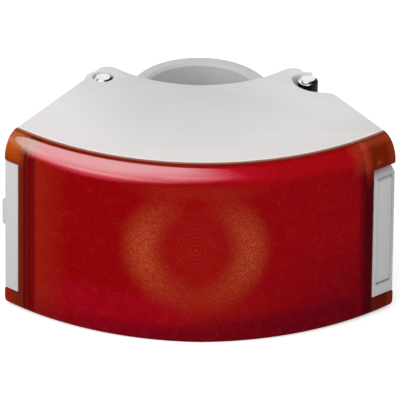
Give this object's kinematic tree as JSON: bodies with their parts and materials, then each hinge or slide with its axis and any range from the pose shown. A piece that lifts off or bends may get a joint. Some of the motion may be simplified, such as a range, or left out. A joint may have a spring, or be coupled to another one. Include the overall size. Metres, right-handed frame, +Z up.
{
  "type": "barricade warning light",
  "caption": "Barricade warning light: wide curved red lens on a grey housing, hinged rear door with a round post collar, lock bolt, side button and lens latch.",
  "frame": {"origin": "on the base plane under the middle of the overall box", "axes": "+Z up, lens faces -Y, post collar towards +Y, +X to the right of someone looking at the lens from the front"},
  "size_m": [0.2063, 0.1724, 0.1025],
  "materials": {
    "grey_moulding": "fine satin moulding",
    "red_lens": "clear red moulding, glossy outside",
    "black_rubber": "matt",
    "dark_moulding": "fine matt moulding",
    "reflector_coat": "vacuum metal coat",
    "clear_optic": "polished",
    "emitter_phosphor": "satin",
    "circuit_board": "satin",
    "aluminium": "extruded",
    "zinc_steel": "zinc plate",
    "chrome": "polished",
    "brass": "satin",
    "cell_jacket": "dark sleeve",
    "black_component": "matt"
  },
  "bodies": {
    "light_body": {"battery_left": "cell_jacket", "battery_right": "cell_jacket", "battery_tray": "dark_moulding", "board_screw_1": "zinc_steel", "board_screw_2": "zinc_steel", "contact_spring_left": "zinc_steel", "contact_spring_right": "zinc_steel", "contact_strip": "brass", "control_board": "circuit_board", "driver_chip": "black_component", "flash_capacitor": "cell_jacket", "heat_sink": "aluminium", "hinge_clip": "zinc_steel", "hinge_pin": "chrome", "housing": "grey_moulding", "latch_pin": "zinc_steel", "led_board": "circuit_board", "led_emitter": "emitter_phosphor", "led_optic": "clear_optic", "left_cheek": "grey_moulding", "lens": "red_lens", "lens_gasket": "black_rubber", "lock_insert": "brass", "panel_screw_1": "zinc_steel", "panel_screw_2": "zinc_steel", "panel_screw_3": "zinc_steel", "panel_screw_4": "zinc_steel", "reflector": "reflector_coat", "reflector_panel": "dark_moulding", "right_cheek": "grey_moulding", "switch_body": "black_component"},
    "door": {"rear_door": "grey_moulding", "door_seal": "black_rubber", "collar_screw_upper": "zinc_steel", "collar_screw_lower": "zinc_steel", "lock_tongue": "zinc_steel", "tongue_screw": "zinc_steel"},
    "lock_bolt": {"lock_bolt": "chrome", "lock_washer": "zinc_steel"},
    "button": {"switch_button": "grey_moulding"},
    "latch": {"lens_latch": "grey_moulding"}
  },
  "joints": [
    {"name": "door_hinge", "type": "hinge", "parent": "light_body", "child": "door", "pos_m": [-0.0515, 0.01725, 0.05], "axis": [0, 0, 1], "range_deg": [0, 100]},
    {"name": "bolt_lift", "type": "slide", "parent": "light_body", "child": "lock_bolt", "axis": [0, 0, 1], "range_m": [0, 0.009]},
    {"name": "button_press", "type": "slide", "parent": "light_body", "child": "button", "axis": [0.7385, -0.6743, 0], "range_m": [0, 0.0012], "stiffness_N_per_m": 400},
    {"name": "latch_swing", "type": "hinge", "parent": "light_body", "child": "latch", "pos_m": [0.09523, -0.04936, 0.0194], "axis": [0.7705, 0.6374, 0], "range_deg": [0, 60]}
  ]
}
